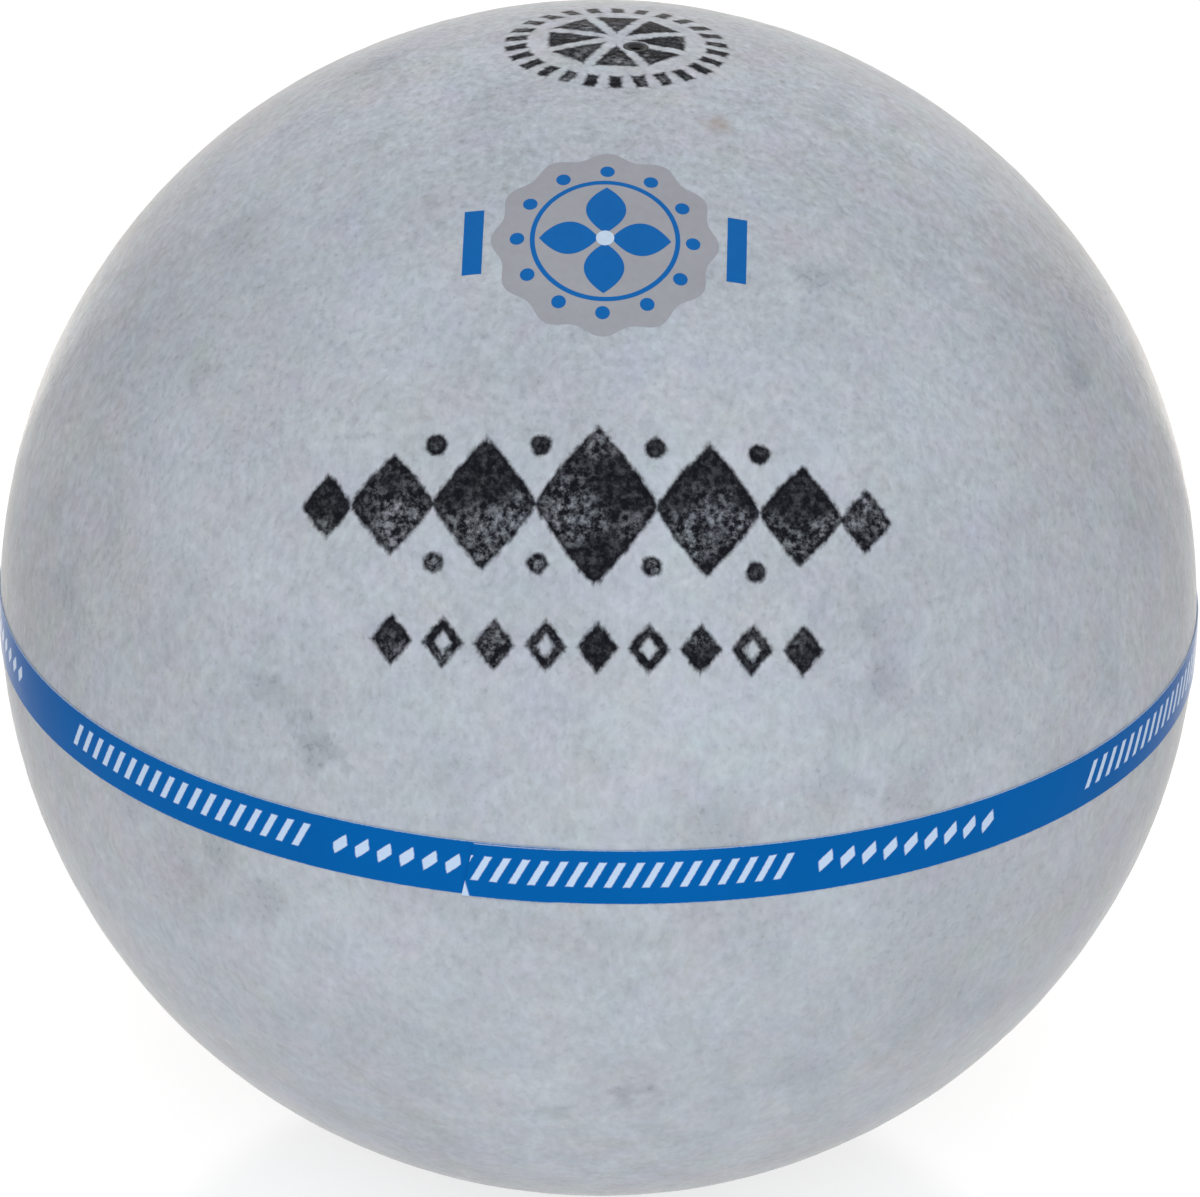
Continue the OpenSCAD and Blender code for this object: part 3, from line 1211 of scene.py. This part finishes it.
def ball_camera():
    """A camera at the photograph's viewing angle, with its framing of the ball."""
    up = Vector((0.0, sin(VIEW_RISE), cos(VIEW_RISE)))
    back = Vector((0.0, -cos(VIEW_RISE), sin(VIEW_RISE)))
    side = Vector((1.0, 0.0, 0.0))
    right = side * cos(VIEW_TILT) + up * sin(VIEW_TILT)
    top = up * cos(VIEW_TILT) - side * sin(VIEW_TILT)
    data = bpy.data.cameras.new("camera")
    data.sensor_width = SENSOR_W
    data.lens = SENSOR_W * OUTLINE_R * sqrt(VIEW_RADII ** 2 - 1) / FRAME_W
    data.shift_x = (FRAME_W / 2 - OUTLINE_X) / FRAME_W
    data.shift_y = (OUTLINE_Y - FRAME_H / 2) / FRAME_W
    camera = bpy.data.objects.new("camera", data)
    turn = Matrix((right, top, back)).transposed().to_4x4()
    camera.matrix_world = Matrix.Translation(back * (VIEW_RADII * BALL_R * MM)) @ turn
    add_to_scene(camera)
    bpy.context.scene.camera = camera


WHITE = (1.0, 1.0, 1.0)
AMBIENT = (0.375, 0.328, 0.298)
FLOOR_Z = -BALL_R * MM
FLOOR_SIZE = 6.0
# The floor as it lights the ball, and as the camera sees it under the shadow, with a glow added
FLOOR_PALE = (0.9, 0.9, 0.9)
FLOOR_SEEN = (0.40, 0.40, 0.40)
FLOOR_GLOW = 0.70
# Distances from the ball, in metres, between which the floor that the camera sees fades to white
FADE_FROM = 0.35
FADE_TO = 0.90


def seen_directly(tree):
    """1 for rays from the camera, and for those that a mirror or glass sends on."""
    path = tree.nodes.new("ShaderNodeLightPath")
    rays = ("Is Camera Ray", "Is Glossy Ray", "Is Transmission Ray")
    camera, glossy, through = (Term(tree, path.outputs[ray]) for ray in rays)
    return camera.most(glossy).most(through)


def fading(tree):
    """0 on the floor near the ball, 1 far from it."""
    place = tree.nodes.new("ShaderNodeTexCoord").outputs["Object"]
    far = tree.nodes.new("ShaderNodeVectorMath")
    far.operation = "LENGTH"
    connect(tree, place, far.inputs[0])
    return Term(tree, far.outputs["Value"]).ramp(FADE_FROM, FADE_TO)


def surroundings():
    """Soft light from all round, which the camera sees as white."""
    world = bpy.data.worlds.new("surroundings")
    bpy.context.scene.world = world
    world.use_nodes = True
    tree = world.node_tree
    tree.nodes.clear()
    soft = add_node(tree, "ShaderNodeBackground", opaque(AMBIENT))
    white = add_node(tree, "ShaderNodeBackground", opaque(WHITE))
    choice = add_node(tree, "ShaderNodeMixShader", seen_directly(tree), soft, white)
    add_node(tree, "ShaderNodeOutputWorld", choice)


def floor_material():
    """Pale where it lights the ball. The camera sees it white, with the ball's soft shadow."""
    material = bpy.data.materials.new("pale_floor")
    material.use_nodes = True
    tree = material.node_tree
    tree.nodes.clear()
    plain = add_node(tree, "ShaderNodeBsdfDiffuse", opaque(FLOOR_PALE))
    shadowed = add_node(tree, "ShaderNodeBsdfDiffuse", opaque(FLOOR_SEEN))
    glow = add_node(tree, "ShaderNodeEmission", opaque(WHITE), FLOOR_GLOW)
    near = add_node(tree, "ShaderNodeAddShader", shadowed, glow)
    white = add_node(tree, "ShaderNodeEmission", opaque(WHITE))
    seen = add_node(tree, "ShaderNodeMixShader", fading(tree), near, white)
    choice = add_node(tree, "ShaderNodeMixShader", seen_directly(tree), plain, seen)
    add_node(tree, "ShaderNodeOutputMaterial", choice)
    return material


def pale_floor():
    half = FLOOR_SIZE / 2
    corners = [(-half, -half, 0), (half, -half, 0), (half, half, 0), (-half, half, 0)]
    mesh = bpy.data.meshes.new("floor")
    mesh.from_pydata(corners, [], [(0, 1, 2, 3)])
    mesh.materials.append(floor_material())
    floor = bpy.data.objects.new("floor", mesh)
    floor.location = (0.0, 0.0, FLOOR_Z)
    add_to_scene(floor)


COOL_LIGHT = (0.90, 1.0, 1.09)
WARM_LIGHT = (1.05, 1.0, 0.93)
BALL_MIDDLE = (0.0, 0.0, 0.0)
# The card lies just above the floor
CARD_Z = FLOOR_Z + 0.00005
# Lamps: name, place, the point it is aimed at and its size in metres, power in watts, colour
LAMPS = (
    ("key", (0.0, -1.7, 1.25), BALL_MIDDLE, 1.4, 21.5, COOL_LIGHT),
    ("top", (0.0, 0.3, 2.0), BALL_MIDDLE, 1.6, 8.2, COOL_LIGHT),
    ("back", (0.0, 2.0, 0.9), BALL_MIDDLE, 0.25, 23.0, WARM_LIGHT),
    ("card", (0.0, -0.1, CARD_Z), (0.0, -0.1, 1.0), 0.6, 0.19, WARM_LIGHT),
)


def lamps():
    for name, place, aim, size, power, colour in LAMPS:
        data = bpy.data.lights.new(name, "AREA")
        data.size = size
        data.energy = power
        data.color = colour
        lamp = bpy.data.objects.new(name, data)
        lamp.location = place
        lamp.rotation_euler = (Vector(aim) - lamp.location).to_track_quat("-Z", "Y").to_euler()
        lamp.visible_camera = False
        lamp.visible_glossy = False
        add_to_scene(lamp)


# The whole ball

def dress(piece, material, node):
    """Puts a new piece in a CAD node's place."""
    piece.data.materials.append(material)
    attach(piece, "root")
    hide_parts(node)


def repaint(node, material):
    """Gives a CAD node that stays a finished material."""
    for slot in frame["nodes"][node].material_slots:
        slot.material = material


def build():
    dress(suede_upper(), suede("suede_printed", upper=True), "upper_cover")
    dress(suede_lower(), suede("suede_plain", upper=False), "lower_cover")
    dress(band_strip(), film("blue_film"), "equator_band")
    emblem = emblem_print()
    emblem.data.materials.append(transfer("emblem_ink"))
    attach(emblem, "root")
    repaint("latex_coat", latex("latex_cream"))
    repaint("thread_winding", wound_thread("thread_wound"))
    black = butyl("butyl_black")
    repaint("bladder", black)
    repaint("balance_patch", black)
    repaint("valve_patch", woven_cloth("cloth_woven"))
    repaint("valve_housing", moulded_rubber("rubber_housing", HOUSING_BLACK))
    repaint("valve_plug", moulded_rubber("rubber_plug", PLUG_BLACK))


build()
ball_camera()
surroundings()
pale_floor()
lamps()
bpy.context.scene.view_settings.view_transform = "Standard"
